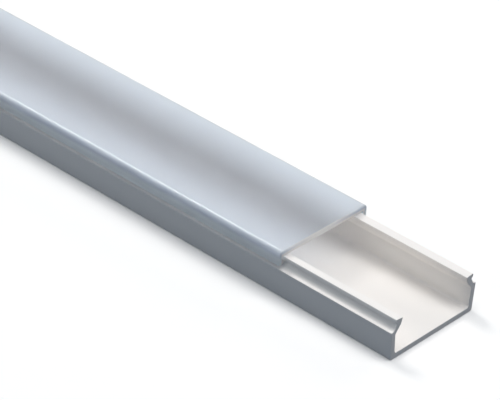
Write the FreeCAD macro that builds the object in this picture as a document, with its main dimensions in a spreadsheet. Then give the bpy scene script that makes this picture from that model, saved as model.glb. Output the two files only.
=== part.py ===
import FreeCAD, Part
import Sketcher
import math
import os

# Two-piece wiring raceway: a U-shaped extruded base with a snap rail on top of each side wall,
# and an extruded cover whose hooked legs run outside the rails.
# X runs along the stock towards its open end, Y across it and Z up from the underside of the base.
# Everything is in millimetres, and the origin is the middle of the underside of the base.

sizes = {
    "stock_length": 400.0,      # both extrusions are cut to this length
    "cover_width": 38.0,        # outside to outside over the legs of the cover
    "overall_height": 16.0,     # underside of the base to the top of the cover
    "drawn_back": 42.6,         # how far the cover stands back from the open end
    "floor_thickness": 1.8,
    "wall_thickness": 1.8,
    "wall_lean": 0.6,           # the foot of a side wall stands this far inside its ledge
    "ledge_inset": 0.35,        # the edge of the ledge stands this far inside the cover's side
    "rail_height": 3.85,        # ledge to the top of the rail
    "ledge_width": 1.2,         # across, from the edge of the ledge to the foot of the neck
    "ledge_rise": 0.15,         # the ledge slopes up this far to the foot of the neck
    "neck_lean": 26.0,          # outer side of the neck: degrees from upright, towards the inside
    "neck_drop": 1.15,          # the inner side of the neck starts this far below the ledge
    "inner_lean": 38.0,         # inner side of the neck: degrees from upright
    "head_depth": 2.3,          # the inner side turns steeper this far below the top of the rail
    "tip_lean": 16.0,           # inner side of the head: degrees from upright
    "head_gap": 0.4,            # between the top of the rail and the underside of the cover
    "head_slope": 0.3,          # the top of the rail falls this far to its inner tip
    "nose_drop": 0.95,          # the nose is this far below the top of the rail
    "nose_setback": 0.2,        # the top of the rail starts this far inside the nose
    "nose_rise": 0.55,          # the slope under the nose rises this far from the neck
    "nose_gap": 0.6,            # running gap between the nose and the leg
    "cover_thickness": 2.0,
    "leg_thickness": 1.3,
    "hook_catch": 0.3,          # the hook reaches this far under the nose
    "hook_gap": 0.35,           # upright gap between the hook and the slope under the nose
    "hook_tip": 0.35,           # upright flat at the tip of the hook
    "hook_lead": 0.63,          # the lead-in slope falls this far from the hook to the foot
    "foot_width": 0.6,          # flat part under the leg, outside the lead-in slope
    "bottom_radius": 0.9,       # outer bottom corners of the base
    "floor_radius": 0.8,        # inner corners beside the floor
    "ledge_radius": 1.5,        # hollow between the ledge and the neck
    "cover_radius": 1.5,        # outer edges of the cover
    "corner_radius": 0.5,       # inner corners of the cover
    "edge_radius": 0.2,         # ledges, rail tops, noses, hooks and feet
}

same_place = 1e-4     # two places closer than this are one
start_distance = 1.0  # a distance in a sketch before the sheet sets it

# Places across the section that several corners are worked out from.
half_cover = "Sizes.cover_width / 2"
half_ledge = f"({half_cover} - Sizes.ledge_inset)"
leg_side = f"({half_cover} - Sizes.leg_thickness)"
nose_side = f"({leg_side} - Sizes.nose_gap)"
cover_underside = "(Sizes.overall_height - Sizes.cover_thickness)"
rail_top = f"({cover_underside} - Sizes.head_gap)"
nose_height = f"({rail_top} - Sizes.nose_drop)"
ledge_height = f"({rail_top} - Sizes.rail_height)"
lean_ratio = f"(Sizes.wall_lean / {ledge_height})"
neck_start = f"({ledge_height} - Sizes.neck_drop)"
neck_foot = f"({half_ledge} - Sizes.ledge_width)"
neck_foot_height = f"({ledge_height} + Sizes.ledge_rise)"
undercut_height = f"({nose_height} - Sizes.nose_rise)"
undercut_side = f"({neck_foot} - ({undercut_height} - {neck_foot_height}) * tan(Sizes.neck_lean * 1 deg))"
nose_slope = f"(Sizes.nose_rise / ({nose_side} - {undercut_side}))"
hook_side = f"({nose_side} - Sizes.hook_catch)"
hook_top = f"({nose_height} - Sizes.hook_gap - Sizes.hook_catch * {nose_slope})"
hook_root = f"({hook_top} + (Sizes.hook_catch + Sizes.nose_gap) * {nose_slope})"
hook_bottom = f"({hook_top} - Sizes.hook_tip)"
foot_height = f"({hook_bottom} - Sizes.hook_lead)"


def wall_side(height):
    """Inner side of the leaning wall at a height."""
    return f"({half_ledge} - ({ledge_height} - {height}) * {lean_ratio} - Sizes.wall_thickness)"


# The inner side of the neck leans from its start, and turns steeper where the head begins.
head_start = f"({rail_top} - Sizes.head_depth)"
head_side = f"({wall_side(neck_start)} - ({head_start} - {neck_start}) * tan(Sizes.inner_lean * 1 deg))"
tip_height = f"({rail_top} - Sizes.head_slope)"
tip_side = f"({head_side} - ({tip_height} - {head_start}) * tan(Sizes.tip_lean * 1 deg))"

# Corners of each half section: name, distance across and height. None is on the axis itself.
base_corners = [
    ("middle of the underside", None, None),
    ("outer bottom", f"{half_ledge} - Sizes.wall_lean", None),
    ("ledge edge", half_ledge, ledge_height),
    ("neck foot", neck_foot, neck_foot_height),
    ("undercut", undercut_side, undercut_height),
    ("nose", nose_side, nose_height),
    ("rail top", f"{nose_side} - Sizes.nose_setback", rail_top),
    ("rail inner tip", tip_side, tip_height),
    ("head start", head_side, head_start),
    ("neck start", wall_side(neck_start), neck_start),
    ("floor side", wall_side("Sizes.floor_thickness"), "Sizes.floor_thickness"),
    ("middle of the floor", None, "Sizes.floor_thickness"),
]

cover_corners = [
    ("middle of the inside", None, cover_underside),
    ("inner corner", leg_side, cover_underside),
    ("hook root", leg_side, hook_root),
    ("hook top", hook_side, hook_top),
    ("hook bottom", hook_side, hook_bottom),
    ("foot inside", f"{half_cover} - Sizes.foot_width", foot_height),
    ("foot outside", half_cover, foot_height),
    ("outer edge", half_cover, "Sizes.overall_height"),
    ("middle of the top", None, "Sizes.overall_height"),
]


def make_sheet(doc):
    sheet = doc.addObject("Spreadsheet::Sheet", "Sizes")
    for row, (name, value) in enumerate(sizes.items(), start=1):
        sheet.set(f"A{row}", name)
        sheet.set(f"B{row}", str(value))
        sheet.setAlias(f"B{row}", name)
    doc.recompute()


def origin_plane(body, role):
    return next(feature for feature in body.Origin.OriginFeatures if feature.Role == role)


def half_section(body, corners):
    """Sketch the closed outline of the half that has Y above zero. Its lines start as a plain ring,
    and the sheet then places every corner."""
    sketch = body.newObject("Sketcher::SketchObject", body.Name + "_section")
    sketch.AttachmentSupport = [(origin_plane(body, "YZ_Plane"), "")]
    sketch.MapMode = "FlatFace"
    count = len(corners)
    turn = 2 * math.pi / count
    ring = [FreeCAD.Vector(math.cos(turn * index), math.sin(turn * index), 0) for index in range(count)]
    for index in range(count):
        sketch.addGeometry(Part.LineSegment(ring[index], ring[(index + 1) % count]), False)
    for index in range(count):
        sketch.addConstraint(Sketcher.Constraint("Coincident", index, 2, (index + 1) % count, 1))
    for index, (name, across, height) in enumerate(corners):
        place_corner(sketch, index, name + " across", "DistanceX", -2, across)
        place_corner(sketch, index, name + " height", "DistanceY", -1, height)
    return sketch


def place_corner(sketch, index, name, kind, axis, expression):
    """Hold the start of one line on an axis, or at a distance that the sheet gives."""
    if expression is None:
        sketch.addConstraint(Sketcher.Constraint("PointOnObject", index, 1, axis))
        return
    number = sketch.addConstraint(Sketcher.Constraint(kind, -1, 1, index, 1, start_distance))
    name = name.replace(" ", "_")
    sketch.renameConstraint(number, name)
    sketch.setExpression("Constraints." + name, expression)


def extrude_both_sides(body, sketch):
    """Extrude the half section along the stock, and mirror it to the other side."""
    pad = body.newObject("PartDesign::Pad", body.Name + "_half")
    pad.Profile = sketch
    pad.SideType = "Symmetric"
    pad.setExpression("Length", "Sizes.stock_length")
    mirror = body.newObject("PartDesign::Mirrored", body.Name + "_mirror")
    mirror.Originals = [pad]
    mirror.MirrorPlane = (origin_plane(body, "XZ_Plane"), [""])
    mirror.Refine = True
    body.Tip = mirror


def round_edges(doc, body, sketch, corners, wanted, radius_name):
    """Round the long edges that run through the named corners, on both sides."""
    doc.recompute()
    names = [corner[0] for corner in corners]
    places = [sketch.Geometry[names.index(name)].StartPoint for name in wanted]
    base = body.Tip
    edges = []
    for number, edge in enumerate(base.Shape.Edges, start=1):
        first, last = (vertex.Point for vertex in edge.Vertexes)
        if math.hypot(first.y - last.y, first.z - last.z) > same_place:
            continue
        if any(math.hypot(abs(first.y) - place.x, first.z - place.y) < same_place for place in places):
            edges.append(f"Edge{number}")
    if len(edges) != 2 * len(wanted):
        raise RuntimeError(f"{body.Name}: {len(edges)} edges found for {wanted}")
    fillet = body.newObject("PartDesign::Fillet", f"{body.Name}_{radius_name}")
    fillet.Base = (base, edges)
    fillet.setExpression("Radius", "Sizes." + radius_name)


def make_base(doc):
    body = doc.addObject("PartDesign::Body", "base_channel")
    sketch = half_section(body, base_corners)
    extrude_both_sides(body, sketch)
    round_edges(doc, body, sketch, base_corners, ["outer bottom"], "bottom_radius")
    round_edges(doc, body, sketch, base_corners, ["floor side"], "floor_radius")
    round_edges(doc, body, sketch, base_corners, ["neck foot"], "ledge_radius")
    fine = ["ledge edge", "undercut", "nose", "rail top", "rail inner tip"]
    round_edges(doc, body, sketch, base_corners, fine, "edge_radius")
    return body


def make_cover(doc):
    body = doc.addObject("PartDesign::Body", "snap_cover")
    sketch = half_section(body, cover_corners)
    extrude_both_sides(body, sketch)
    round_edges(doc, body, sketch, cover_corners, ["outer edge"], "cover_radius")
    round_edges(doc, body, sketch, cover_corners, ["inner corner"], "corner_radius")
    fine = ["hook root", "hook top", "hook bottom", "foot inside", "foot outside"]
    round_edges(doc, body, sketch, cover_corners, fine, "edge_radius")
    body.setExpression(".Placement.Base.x", "-Sizes.drawn_back")
    return body


def check(doc, bodies):
    for item in doc.Objects:
        if "Invalid" in item.State or "Error" in item.State:
            raise RuntimeError(f"{item.Label} is {item.State}")
    for body in bodies:
        if body.Shape.isNull() or not body.Shape.isValid() or len(body.Shape.Solids) != 1:
            raise RuntimeError(f"{body.Label} is not one valid solid")


def main():
    doc = FreeCAD.newDocument("raceway")
    make_sheet(doc)
    bodies = [make_base(doc), make_cover(doc)]
    doc.recompute()
    check(doc, bodies)
    os.makedirs("parts", exist_ok=True)
    for body in bodies:
        body.Shape.exportStep(f"parts/{body.Label}.step")
        box = body.Shape.BoundBox
        print(f"{body.Label}: {body.Shape.Volume:.1f} mm3, {len(body.Shape.Faces)} faces, "
              f"{box.XMin:.2f} to {box.XMax:.2f}, {box.YLength:.2f} wide, {box.ZMin:.2f} to {box.ZMax:.2f}")


main()
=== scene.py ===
import math

import bpy
from mathutils import Matrix, Vector


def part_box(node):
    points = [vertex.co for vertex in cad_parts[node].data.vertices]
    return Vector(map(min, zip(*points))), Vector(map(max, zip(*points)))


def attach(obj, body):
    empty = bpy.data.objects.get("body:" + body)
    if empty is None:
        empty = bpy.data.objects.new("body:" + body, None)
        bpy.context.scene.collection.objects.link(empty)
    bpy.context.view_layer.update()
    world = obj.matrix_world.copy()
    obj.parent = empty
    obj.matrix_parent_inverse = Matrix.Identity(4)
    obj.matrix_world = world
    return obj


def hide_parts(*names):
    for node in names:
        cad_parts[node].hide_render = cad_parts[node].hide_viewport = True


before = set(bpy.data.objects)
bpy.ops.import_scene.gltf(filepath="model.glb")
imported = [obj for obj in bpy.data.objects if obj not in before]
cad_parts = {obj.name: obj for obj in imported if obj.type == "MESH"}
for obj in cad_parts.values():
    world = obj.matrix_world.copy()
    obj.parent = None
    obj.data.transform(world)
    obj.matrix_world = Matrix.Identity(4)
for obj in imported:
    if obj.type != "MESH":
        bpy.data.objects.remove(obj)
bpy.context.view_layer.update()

# Two-piece wiring raceway: a white base channel, and a frosted cover drawn back from its near end.
# X runs along the stock, Y across it and Z up. Sizes in the dictionaries are millimetres,
# apart from the depths and scales of fine relief, the floor and the lamps, which are in metres.

mm = 0.001
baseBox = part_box("base_channel")
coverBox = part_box("snap_cover")


# Outlines of the two sections

roundings = {
    "degreesPerStep": 8.0,
    "fewestSteps": 4,
    "helperGap": 0.05,  # point this far past each arc, which keeps the flats flat
}


def turned(corner, before, after, radius):
    # points of one corner: a tangent arc, with a helper point on each side where there is room
    towardsBefore = (before - corner).normalized()
    towardsAfter = (after - corner).normalized()
    if radius == 0:
        return [corner]
    halfAngle = towardsBefore.angle(towardsAfter) / 2
    tangent = radius / math.tan(halfAngle)
    centre = corner + (towardsBefore + towardsAfter).normalized() * radius / math.sin(halfAngle)
    first = corner + towardsBefore * tangent - centre
    sweep = math.pi - 2 * halfAngle
    side = 1 if towardsBefore.cross(towardsAfter) > 0 else -1
    steps = max(roundings["fewestSteps"], round(math.degrees(sweep) / roundings["degreesPerStep"]))
    arc = []
    for step in range(steps + 1):
        angle = -side * sweep * step / steps
        arc.append(centre + Matrix.Rotation(angle, 2) @ first)
    lead = roundings["helperGap"]
    start, end = arc[0] + towardsBefore * lead, arc[-1] + towardsAfter * lead
    roomBefore = (before - corner).length / 2 - tangent > lead
    roomAfter = (after - corner).length / 2 - tangent > lead
    return [start] * roomBefore + arc + [end] * roomAfter


def closedOutline(rightHalf):
    # corners of the right half run from the bottom to the top, and the left half mirrors them
    leftHalf = [(-across, height, radius) for across, height, radius in reversed(rightHalf)]
    corners = rightHalf + leftHalf
    points = [Vector((across, height)) for across, height, radius in corners]
    outline = []
    for index, (across, height, radius) in enumerate(corners):
        before = points[index - 1]
        after = points[(index + 1) % len(points)]
        outline += turned(points[index], before, after, radius)
    return outline


def sectionCurve(name, outline):
    # flat closed curve in its own XY plane, which the node tree sweeps along the stock
    data = bpy.data.curves.new(name, "CURVE")
    data.dimensions = "3D"
    spline = data.splines.new("POLY")
    spline.points.add(len(outline) - 1)
    for point, place in zip(spline.points, outline):
        point.co = (-place.x * mm, -place.y * mm, 0, 1)
    spline.use_cyclic_u = True
    section = bpy.data.objects.new(name, data)
    bpy.context.scene.collection.objects.link(section)
    return section


# Node tree that extrudes a section, with the faint waviness of extruded plastic

extrusion = {
    "stations": 100,
    "waveDepth": 0.000005,
    "waveScale": 25.0,
    "waveDetail": 1.0,
    "waveStretch": (0.25, 1.0, 1.0),  # waves are four times as long along the stock
    "endFacing": 0.7,                 # faces that look this far along the stock are cut ends
    "chamfer": 0.07,                  # very fine chamfer round both saw cuts
    "chamferAngle": 60,
    "creaseAngle": 20,
}


def extrusionTree():
    tree = bpy.data.node_groups.new("extrudeStock", "GeometryNodeTree")
    sockets = {
        "Section": "Geometry", "Near End": "Float", "Far End": "Float",
        "Wave Depth": "Float", "Wave Scale": "Float", "Seed": "Float",
        "Stations": "Int", "Finish": "Material",
    }
    for name, kind in sockets.items():
        tree.interface.new_socket(name=name, in_out="INPUT", socket_type="NodeSocket" + kind)
    tree.interface.new_socket(name="Stock", in_out="OUTPUT", socket_type="NodeSocketGeometry")
    nodes, links = tree.nodes, tree.links
    given = nodes.new("NodeGroupInput")
    out = nodes.new("NodeGroupOutput")

    def add(kind, **settings):
        node = nodes.new(kind)
        for name, value in settings.items():
            setattr(node, name, value)
        return node

    def join(source, output, target, name):
        links.new(source.outputs[output], target.inputs[name])

    near, far = add("ShaderNodeCombineXYZ"), add("ShaderNodeCombineXYZ")
    join(given, "Near End", near, "X")
    join(given, "Far End", far, "X")
    line = add("GeometryNodeCurvePrimitiveLine")
    join(near, "Vector", line, "Start")
    join(far, "Vector", line, "End")
    stations = add("GeometryNodeResampleCurve")
    join(line, "Curve", stations, "Curve")
    join(given, "Stations", stations, "Count")
    sweep = add("GeometryNodeCurveToMesh")
    sweep.inputs["Fill Caps"].default_value = True
    join(stations, "Curve", sweep, "Curve")
    join(given, "Section", sweep, "Profile Curve")

    # the two cut ends are marked, for the sawn finish
    normal = add("GeometryNodeInputNormal")
    split = add("ShaderNodeSeparateXYZ")
    join(normal, "Normal", split, "Vector")
    along = add("ShaderNodeMath", operation="ABSOLUTE")
    join(split, "X", along, 0)
    isEnd = add("ShaderNodeMath", operation="GREATER_THAN")
    isEnd.inputs[1].default_value = extrusion["endFacing"]
    join(along, "Value", isEnd, 0)
    mark = add("GeometryNodeStoreNamedAttribute", data_type="FLOAT", domain="FACE")
    mark.inputs["Name"].default_value = "cutEnd"
    join(sweep, "Mesh", mark, "Geometry")
    join(isEnd, "Value", mark, "Value")

    # inward waves, long along the stock, so that the outside size is never passed
    place = add("GeometryNodeInputPosition")
    stretch = add("ShaderNodeVectorMath", operation="MULTIPLY")
    stretch.inputs[1].default_value = extrusion["waveStretch"]
    join(place, "Position", stretch, 0)
    noise = add("ShaderNodeTexNoise", noise_dimensions="4D")
    noise.inputs["Detail"].default_value = extrusion["waveDetail"]
    join(stretch, "Vector", noise, "Vector")
    join(given, "Wave Scale", noise, "Scale")
    join(given, "Seed", noise, "W")
    depth = add("ShaderNodeMath", operation="MULTIPLY")
    join(noise, "Fac", depth, 0)
    join(given, "Wave Depth", depth, 1)
    crosswise = add("ShaderNodeVectorMath", operation="MULTIPLY")
    crosswise.inputs[1].default_value = (0.0, 1.0, 1.0)
    join(normal, "Normal", crosswise, 0)
    flip = add("ShaderNodeMath", operation="MULTIPLY")
    flip.inputs[1].default_value = -1.0
    join(depth, "Value", flip, 0)
    inward = add("ShaderNodeVectorMath", operation="SCALE")
    join(crosswise, "Vector", inward, 0)
    join(flip, "Value", inward, "Scale")
    wave = add("GeometryNodeSetPosition")
    join(mark, "Geometry", wave, "Geometry")
    join(inward, "Vector", wave, "Offset")

    real = add("GeometryNodeRealizeInstances")
    join(wave, "Geometry", real, "Geometry")
    finish = add("GeometryNodeSetMaterial")
    join(real, "Geometry", finish, "Geometry")
    join(given, "Finish", finish, "Material")
    join(finish, "Geometry", out, "Stock")
    return tree


def socketId(tree, name):
    return next(item.identifier for item in tree.interface.items_tree if item.name == name)


def plainMesh(piece):
    # the piece's mesh with its modifiers worked in
    graph = bpy.context.evaluated_depsgraph_get()
    return bpy.data.meshes.new_from_object(piece.evaluated_get(graph), depsgraph=graph)


def extrude(name, corners, tree, box, finish, seed):
    # stock of one section from one end of the node's box to the other
    section = sectionCurve(name + "Section", closedOutline(corners))
    modifier = section.modifiers.new("extrude", "NODES")
    modifier.node_group = tree
    values = {
        "Near End": box[1].x, "Far End": box[0].x, "Stations": extrusion["stations"],
        "Wave Depth": extrusion["waveDepth"], "Wave Scale": extrusion["waveScale"],
        "Finish": finish, "Seed": seed,
    }
    for key, value in values.items():
        modifier[socketId(tree, key)] = value
    mesh = plainMesh(section)
    section.modifiers.remove(modifier)
    bpy.data.objects.remove(section)
    piece = bpy.data.objects.new(name, mesh)
    bpy.context.scene.collection.objects.link(piece)
    breakEdges(piece)
    piece.data.name = name
    smoothFlats(piece.data)
    return piece


def breakEdges(piece):
    # the chamfer is made part of the mesh
    bevel = piece.modifiers.new("brokenEdge", "BEVEL")
    bevel.width = extrusion["chamfer"] * mm
    bevel.segments = 1
    bevel.limit_method = "ANGLE"
    bevel.angle_limit = math.radians(extrusion["chamferAngle"])
    mesh = plainMesh(piece)
    piece.modifiers.remove(bevel)
    sawn, piece.data = piece.data, mesh
    bpy.data.meshes.remove(sawn)


def smoothFlats(mesh):
    # smooth round the arcs, with crisp lines at the creases and the cut ends
    for polygon in mesh.polygons:
        polygon.use_smooth = True
    mesh.set_sharp_from_angle(angle=math.radians(extrusion["creaseAngle"]))


# Node helpers, for a material or the world

def newMaterial(name):
    material = bpy.data.materials.new(name)
    material.use_nodes = True
    material.node_tree.nodes.clear()
    return material


def addNode(owner, kind, values=None, **settings):
    node = owner.node_tree.nodes.new(kind)
    for name, value in settings.items():
        setattr(node, name, value)
    for name, value in (values or {}).items():
        node.inputs[name].default_value = value
    return node


def link(owner, source, output, target, name):
    owner.node_tree.links.new(source.outputs[output], target.inputs[name])


def combine(owner, operation, first, firstOutput, second, secondOutput):
    both = addNode(owner, "ShaderNodeMath", operation=operation)
    link(owner, first, firstOutput, both, 0)
    link(owner, second, secondOutput, both, 1)
    return both


def whereSeen(owner):
    # 1 for what the camera sees, straight, mirrored or through the cover, and 0 for other light
    path = addNode(owner, "ShaderNodeLightPath")
    direct = combine(owner, "MAXIMUM", path, "Is Camera Ray", path, "Is Transmission Ray")
    return combine(owner, "MAXIMUM", direct, "Value", path, "Is Glossy Ray")


def noiseAlong(material, coordinates, stretch, scale, detail, seed):
    # noise with its own stretch, so that draw lines run along the stock
    move = {"Scale": stretch, "Location": (seed, seed, seed)}
    mapping = addNode(material, "ShaderNodeMapping", move)
    link(material, coordinates, "Object", mapping, "Vector")
    noise = addNode(material, "ShaderNodeTexNoise", {"Scale": scale, "Detail": detail})
    link(material, mapping, "Vector", noise, "Vector")
    return noise


def blendColour(material, factor, output, low, high):
    mix = addNode(material, "ShaderNodeMix", data_type="RGBA")
    mix.inputs["A"].default_value = (*low, 1)
    mix.inputs["B"].default_value = (*high, 1)
    link(material, factor, output, mix, "Factor")
    return mix


def layColour(material, under, colour, factor, output):
    # a plain colour laid over another node's colour
    mix = addNode(material, "ShaderNodeMix", data_type="RGBA")
    mix.inputs["B"].default_value = (*colour, 1)
    link(material, under, "Result", mix, "A")
    link(material, factor, output, mix, "Factor")
    return mix


def rescale(material, source, output, low, high):
    ramp = addNode(material, "ShaderNodeMapRange", {"To Min": low, "To Max": high})
    link(material, source, output, ramp, "Value")
    return ramp


def between(material, source, output, start, end):
    # 0 before the first place and 1 past the second one, both in millimetres
    ends = {"From Min": start * mm, "From Max": end * mm}
    ramp = addNode(material, "ShaderNodeMapRange", ends)
    link(material, source, output, ramp, "Value")
    return ramp


def besideLine(material, place, middle, start, end):
    # the same, for the distance to either side of a line along the stock
    shifted = addNode(material, "ShaderNodeMath", operation="SUBTRACT")
    shifted.inputs[1].default_value = middle * mm
    link(material, place, "Y", shifted, 0)
    across = addNode(material, "ShaderNodeMath", operation="ABSOLUTE")
    link(material, shifted, "Value", across, 0)
    return between(material, across, "Value", start, end)


# Extruded plastic: faint mottle, draw lines and orange peel, and a sawn finish on the cut ends,
# whose colour on the cover is a painted glow.
# The noise is drawn out along an axis whose stretch is below 1, and its scale is per metre.

plasticDefaults = {
    "mottleStretch": (0.3, 1.0, 1.0), "mottleScale": 35.0, "mottleDetail": 3.0,
    "drawStretch": (0.004, 1.0, 1.0), "drawScale": 900.0, "drawDetail": 4.0, "drawDepth": 0.000006,
    "peelStretch": (0.4, 1.0, 1.0), "peelScale": 420.0, "peelDetail": 2.0, "peelDepth": 0.000004,
    "sawStretch": (1.0, 0.03, 1.0), "sawScale": 1500.0, "sawDetail": 3.0, "sawDepth": 0.00002,
    "transmission": 0.0,
    "coat": 0.0, "coatRough": 0.2,
    "glow": 0.0, "glowRadius": (1.0, 1.0, 1.0), "glowDepth": 0.0005,  # light scattered inside
}

basePlastic = {
    "colourLow": (0.94, 0.89, 0.84), "colourHigh": (0.965, 0.913, 0.862),
    "cutColourAndGlow": (0.91, 0.865, 0.82),
    "roughLow": 0.30, "roughHigh": 0.44, "cutRough": 0.62, "ior": 1.52,
    "seed": 3.1,
}

coverPlastic = {
    "colourLow": (0.665, 0.71, 0.775), "colourHigh": (0.695, 0.74, 0.805),
    # the cover's cut ends are painted warm and bright, a painted glow of light scattered in from
    # the channel
    "cutColourAndGlow": (1.0, 0.91, 0.85),
    "roughLow": 0.34, "roughHigh": 0.44, "cutRough": 0.7, "ior": 1.4,
    "coat": 0.6, "coatRough": 0.07,
    "glow": 1.0, "glowDepth": 0.003,
    "transmission": 0.96,        # along the clear middle and inside
    "cloudyTransmission": 0.27,  # at the edges of the outer skin and on the saw cuts
    "clearMiddle": -2.0, "clearTo": 3.0, "cloudyFrom": 18.0,  # across the cover
    "skinSide": (17.8, 18.4), "skinTop": (14.3, 15.0),        # where the outer skin begins
    # paler colour of the skin towards its edges, painted light from the rails beneath
    "edgeLightColour": (0.80, 0.85, 0.93),
    # painted shade in a band round the edge's curve, just under its highlight
    "cornerShadeBand": (15.7, 15.2), "cornerShadeColour": (0.62, 0.67, 0.75),  # going down, as is the leg's
    # lighter down the leg, painted light that comes through it, and bluer as the leg's tint
    "legLightBand": (14.5, 13.3), "legLightColour": (0.90, 0.98, 1.0),
    "seed": 7.4,
}


def plastic(name, settings):
    values = {**plasticDefaults, **settings}
    material = newMaterial(name)
    coordinates = addNode(material, "ShaderNodeTexCoord")
    shader = addNode(material, "ShaderNodeBsdfPrincipled", {
        "IOR": values["ior"],
        "Transmission Weight": values["transmission"],
        "Coat Weight": values["coat"],
        "Coat Roughness": values["coatRough"],
        "Subsurface Weight": values["glow"],
        "Subsurface Radius": values["glowRadius"],
        "Subsurface Scale": values["glowDepth"],
    })

    def relief(kind, order):
        return noiseAlong(material, coordinates, values[kind + "Stretch"], values[kind + "Scale"],
                          values[kind + "Detail"], values["seed"] + order)

    mottle = relief("mottle", 0)
    colour = blendColour(material, mottle, "Fac", values["colourLow"], values["colourHigh"])
    cut = addNode(material, "ShaderNodeAttribute", attribute_name="cutEnd")
    # cut ends take the cut colour: the base's own sawn tone, and on the cover a painted glow
    ends = layColour(material, colour, values["cutColourAndGlow"], cut, "Fac")
    link(material, ends, "Result", shader, "Base Color")

    lines = relief("draw", 1)
    smooth = rescale(material, lines, "Fac", values["roughLow"], values["roughHigh"])
    rough = addNode(material, "ShaderNodeMix", {"B": values["cutRough"]})
    link(material, smooth, "Result", rough, "A")
    link(material, cut, "Fac", rough, "Factor")
    link(material, rough, "Result", shader, "Roughness")

    drawn = addNode(material, "ShaderNodeBump", {"Strength": 1.0, "Distance": values["drawDepth"]})
    link(material, lines, "Fac", drawn, "Height")
    peel = relief("peel", 2)
    peeled = addNode(material, "ShaderNodeBump", {"Strength": 1.0, "Distance": values["peelDepth"]})
    link(material, peel, "Fac", peeled, "Height")
    link(material, drawn, "Normal", peeled, "Normal")
    saw = relief("saw", 3)
    sawn = addNode(material, "ShaderNodeBump", {"Distance": values["sawDepth"]})
    link(material, saw, "Fac", sawn, "Height")
    link(material, cut, "Fac", sawn, "Strength")
    link(material, peeled, "Normal", sawn, "Normal")
    link(material, sawn, "Normal", shader, "Normal")

    if values["transmission"] > 0:
        frost(material, shader, coordinates, cut, ends, values)

    out = addNode(material, "ShaderNodeOutputMaterial")
    link(material, shader, "BSDF", out, "Surface")
    return material


def frost(material, shader, coordinates, cut, ends, values):
    # outer skin that is clearest along its middle and cloudier towards its edges, and painted paler
    # towards its edges, a painted lightening for light that comes up through the cover from the
    # rails beneath;
    # its inside is clear, and the saw cuts are as cloudy as the edges
    place = addNode(material, "ShaderNodeSeparateXYZ")
    link(material, coordinates, "Object", place, "Vector")
    edge = besideLine(material, place, values["clearMiddle"],
                      values["clearTo"], values["cloudyFrom"])
    side = besideLine(material, place, 0, *values["skinSide"])
    top = between(material, place, "Z", *values["skinTop"])
    outside = combine(material, "MAXIMUM", side, "Result", top, "Result")
    skin = combine(material, "MULTIPLY", edge, "Result", outside, "Value")
    cloudy = combine(material, "MAXIMUM", skin, "Value", cut, "Fac")
    clear = rescale(material, cloudy, "Value",
                    values["transmission"], values["cloudyTransmission"])
    link(material, clear, "Result", shader, "Transmission Weight")

    # the skin is painted darker round the edge's curve, a painted shade under the edge's highlight,
    # and lighter and bluer down the leg, painted light that comes through the leg with a blue tint
    corner = between(material, place, "Z", *values["cornerShadeBand"])
    rounded = blendColour(material, corner, "Result",
                          values["edgeLightColour"], values["cornerShadeColour"])
    # painted light down the leg, with its blue tint
    leg = between(material, place, "Z", *values["legLightBand"])
    outer = layColour(material, rounded, values["legLightColour"], leg, "Result")
    tint = addNode(material, "ShaderNodeMix", data_type="RGBA")
    link(material, ends, "Result", tint, "A")
    link(material, outer, "Result", tint, "B")
    link(material, skin, "Value", tint, "Factor")
    link(material, tint, "Result", shader, "Base Color")


# Base channel: a floor, two leaning walls with a ledge on top, and a hooked rail above each ledge

baseChannel = {
    "halfCover": 19.0, "legThickness": 1.3, "noseGap": 0.6,  # the cover that it is made for
    "ledgeInset": 0.35, "wallLean": 0.6, "wallThickness": 1.8, "floorThickness": 1.8,
    "ledgeHeight": 9.75, "ledgeWidth": 1.2, "ledgeRise": 0.15,
    "neckLean": 26.0, "neckDrop": 1.15, "innerLean": 38.0,   # leans are degrees from upright
    "railTop": 13.6, "headDepth": 2.3, "tipLean": 16.0, "headSlope": 0.3,
    "noseDrop": 0.95, "noseSetback": 0.2, "noseRise": 0.55,
    "bottomRadius": 0.9, "floorRadius": 0.8, "ledgeRadius": 1.5, "edgeRadius": 0.2,
}


def baseCorners(size):
    # each corner is the distance across, the height and the radius
    def leaning(start, rise, degrees):
        return start - rise * math.tan(math.radians(degrees))

    def wallSide(height):
        lean = size["wallLean"] / size["ledgeHeight"]
        return halfLedge - (size["ledgeHeight"] - height) * lean - size["wallThickness"]

    halfLedge = size["halfCover"] - size["ledgeInset"]
    nose = size["halfCover"] - size["legThickness"] - size["noseGap"]
    noseHeight = size["railTop"] - size["noseDrop"]
    foot = halfLedge - size["ledgeWidth"]
    footHeight = size["ledgeHeight"] + size["ledgeRise"]
    undercut = noseHeight - size["noseRise"]
    undercutSide = leaning(foot, undercut - footHeight, size["neckLean"])
    neckStart = size["ledgeHeight"] - size["neckDrop"]
    headStart = size["railTop"] - size["headDepth"]
    headSide = leaning(wallSide(neckStart), headStart - neckStart, size["innerLean"])
    tip = size["railTop"] - size["headSlope"]
    fine = size["edgeRadius"]
    return [
        (halfLedge - size["wallLean"], 0, size["bottomRadius"]),
        (halfLedge, size["ledgeHeight"], fine),
        (foot, footHeight, size["ledgeRadius"]),
        (undercutSide, undercut, fine),
        (nose, noseHeight, fine),
        (nose - size["noseSetback"], size["railTop"], fine),
        (leaning(headSide, tip - headStart, size["tipLean"]), tip, fine),
        (headSide, headStart, 0),
        (wallSide(neckStart), neckStart, 0),
        (wallSide(size["floorThickness"]), size["floorThickness"], size["floorRadius"]),
    ]


# Snap cover: a flat top with rounded edges, and a hooked leg down each side

snapCover = {
    "halfCover": 19.0, "height": 16.0, "thickness": 2.0, "legThickness": 1.3,
    "hookSide": 16.8, "hookTop": 12.072, "hookRise": 0.685,  # tip of the hook, and its slope's rise
    "hookTip": 0.35, "hookLead": 0.63, "footWidth": 0.6,     # flat tip, lead-in slope and foot
    "coverRadius": 1.5, "cornerRadius": 0.5, "edgeRadius": 0.2,
}


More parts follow.
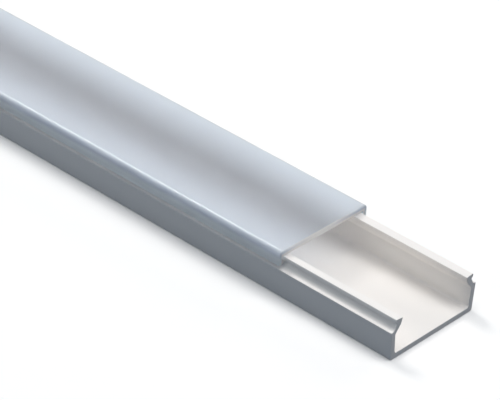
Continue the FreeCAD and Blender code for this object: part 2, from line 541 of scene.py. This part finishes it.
def coverCorners(size):
    legSide = size["halfCover"] - size["legThickness"]
    hookBottom = size["hookTop"] - size["hookTip"]
    foot = hookBottom - size["hookLead"]
    fine = size["edgeRadius"]
    return [
        (legSide, size["height"] - size["thickness"], size["cornerRadius"]),
        (legSide, size["hookTop"] + size["hookRise"], fine),
        (size["hookSide"], size["hookTop"], fine),
        (size["hookSide"], hookBottom, fine),
        (size["halfCover"] - size["footWidth"], foot, fine),
        (size["halfCover"], foot, fine),
        (size["halfCover"], size["height"], size["coverRadius"]),
    ]


rigidWhite = plastic("rigidWhitePlastic", basePlastic)
frostedGrey = plastic("frostedCoverPlastic", coverPlastic)
print("materials made")

tree = extrusionTree()
base = extrude("baseExtrusion", baseCorners(baseChannel), tree, baseBox, rigidWhite, 1.0)
cover = extrude("coverExtrusion", coverCorners(snapCover), tree, coverBox, frostedGrey, 5.0)
for piece, node, body, slot in (
    (base, "base_channel", "base", "base_plastic"),
    (cover, "snap_cover", "cover", "cover_plastic"),
):
    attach(piece, body)
    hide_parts(node)
    print(piece.name, "made with", len(piece.data.polygons), "faces")


# Floor, which shows white to the camera and keeps the object's shadow

studioFloor = {
    "size": 8.0,
    "colour": (1.0, 0.97, 0.94), "glow": 0.106,  # as the camera sees it
    "bounce": (0.02, 0.04, 0.08),                # as it throws light back onto the object
    "shadowTo": 0.35, "whiteFrom": 0.6,          # the floor runs out to plain white between these
}


def floorMaterial(settings):
    material = newMaterial("studioFloor")
    seen = addNode(material, "ShaderNodeBsdfDiffuse", {"Color": (*settings["colour"], 1)})
    lit = addNode(material, "ShaderNodeBsdfDiffuse", {"Color": (*settings["bounce"], 1)})
    glow = addNode(material, "ShaderNodeEmission", {"Strength": settings["glow"]})
    both = addNode(material, "ShaderNodeAddShader")
    link(material, seen, "BSDF", both, 0)
    link(material, glow, "Emission", both, 1)

    place = addNode(material, "ShaderNodeTexCoord")
    away = addNode(material, "ShaderNodeVectorMath", operation="LENGTH")
    link(material, place, "Object", away, 0)
    far = addNode(material, "ShaderNodeMapRange", {
        "From Min": settings["shadowTo"], "From Max": settings["whiteFrom"],
    })
    link(material, away, "Value", far, "Value")
    plain = addNode(material, "ShaderNodeEmission", {"Strength": 1.0})
    runOut = addNode(material, "ShaderNodeMixShader")
    link(material, far, "Result", runOut, "Fac")
    link(material, both, "Shader", runOut, 1)
    link(material, plain, "Emission", runOut, 2)

    mix = addNode(material, "ShaderNodeMixShader")
    link(material, whereSeen(material), "Value", mix, "Fac")
    link(material, lit, "BSDF", mix, 1)
    link(material, runOut, "Shader", mix, 2)
    out = addNode(material, "ShaderNodeOutputMaterial")
    link(material, mix, "Shader", out, "Surface")
    return material


def makeFloor(settings):
    half = settings["size"] / 2
    mesh = bpy.data.meshes.new("floor")
    corners = [(-half, -half, 0), (half, -half, 0), (half, half, 0), (-half, half, 0)]
    mesh.from_pydata(corners, [], [(0, 1, 2, 3)])
    floor = bpy.data.objects.new("floor", mesh)
    bpy.context.scene.collection.objects.link(floor)
    mesh.materials.append(floorMaterial(settings))


makeFloor(studioFloor)


# World and lamps: soft light from above and both ends, and faint fills from the front and back

studioWorld = {"fillColour": (0.28, 0.62, 1.0), "fillStrength": 0.11}
lampAim = (0.05, 0, 0)
white = (1.0, 1.0, 1.0)
lamps = {
    "overheadSoftbox": {
        "size": (0.8, 1.0), "power": 5.4, "colour": white, "place": (0.05, -0.08, 1.2),
    },
    "rightSoftbox": {
        "size": (0.6, 0.6), "power": 4.2, "colour": white, "place": (0.66, 0.28, 0.97),
    },
    "leftSoftbox": {
        "size": (0.34, 0.4), "power": 4.3, "colour": white, "place": (-0.6, 0.12, 1.0),
    },
    "frontFill": {
        "size": (0.8, 0.5), "power": 1.95, "colour": (0.91, 0.97, 1.0),
        "place": (-0.16, -1.12, 0.55),
    },
    "backFill": {
        "size": (0.8, 0.5), "power": 1.6, "colour": white, "place": (0.15, 1.0, 0.55),
    },
}


def makeWorld(settings):
    # white to the camera and in what is mirrored or seen through, and a faint cool fill otherwise
    world = bpy.data.worlds.new("studio")
    world.use_nodes = True
    world.node_tree.nodes.clear()
    fill = addNode(world, "ShaderNodeBackground", {
        "Color": (*settings["fillColour"], 1), "Strength": settings["fillStrength"],
    })
    plain = addNode(world, "ShaderNodeBackground", {"Color": (*white, 1)})
    mix = addNode(world, "ShaderNodeMixShader")
    link(world, whereSeen(world), "Value", mix, "Fac")
    link(world, fill, "Background", mix, 1)
    link(world, plain, "Background", mix, 2)
    out = addNode(world, "ShaderNodeOutputWorld")
    link(world, mix, "Shader", out, "Surface")
    bpy.context.scene.world = world


def makeLamp(name, settings):
    light = bpy.data.lights.new(name, "AREA")
    light.shape = "RECTANGLE"
    light.size, light.size_y = settings["size"]
    light.energy = settings["power"]
    light.color = settings["colour"]
    lamp = bpy.data.objects.new(name, light)
    lamp.location = settings["place"]
    aim = Vector(lampAim) - Vector(settings["place"])
    lamp.rotation_euler = aim.to_track_quat("-Z", "Y").to_euler()
    bpy.context.scene.collection.objects.link(lamp)


makeWorld(studioWorld)
for name, settings in lamps.items():
    makeLamp(name, settings)


# Camera at the photograph's viewing angle

cameraView = {
    "aim": (124.5, 3.92, 8.0),  # point of the object at the middle of the picture
    "distance": 797.8,
    "bearing": 41.47,           # degrees from +Y towards -X
    "dip": 33.03,               # degrees below level
    "roll": 3.354,              # degrees, clockwise picture edge
    "lens": 191.03,
    "sensor": 36.0,
    "clip": (0.05, 20.0),       # metres
}


def makeCamera(settings):
    data = bpy.data.cameras.new("photoCamera")
    data.lens = settings["lens"]
    data.sensor_width = settings["sensor"]
    data.clip_start, data.clip_end = settings["clip"]
    camera = bpy.data.objects.new("photoCamera", data)
    bearing, dip = math.radians(settings["bearing"]), math.radians(settings["dip"])
    level = Vector((math.cos(bearing), math.sin(bearing), 0))
    ahead = Vector((-math.sin(bearing), math.cos(bearing), 0))
    forward = ahead * math.cos(dip) - Vector((0, 0, math.sin(dip)))
    upright = level.cross(forward)
    roll = math.radians(settings["roll"])
    right = level * math.cos(roll) + upright * math.sin(roll)
    up = upright * math.cos(roll) - level * math.sin(roll)
    turn = Matrix((right, up, -forward)).transposed()
    camera.rotation_euler = turn.to_euler()
    camera.location = Vector(settings["aim"]) * mm - forward * settings["distance"] * mm
    bpy.context.scene.collection.objects.link(camera)
    bpy.context.scene.camera = camera


makeCamera(cameraView)
bpy.context.scene.view_settings.view_transform = "Standard"
print("camera, floor and lights made")
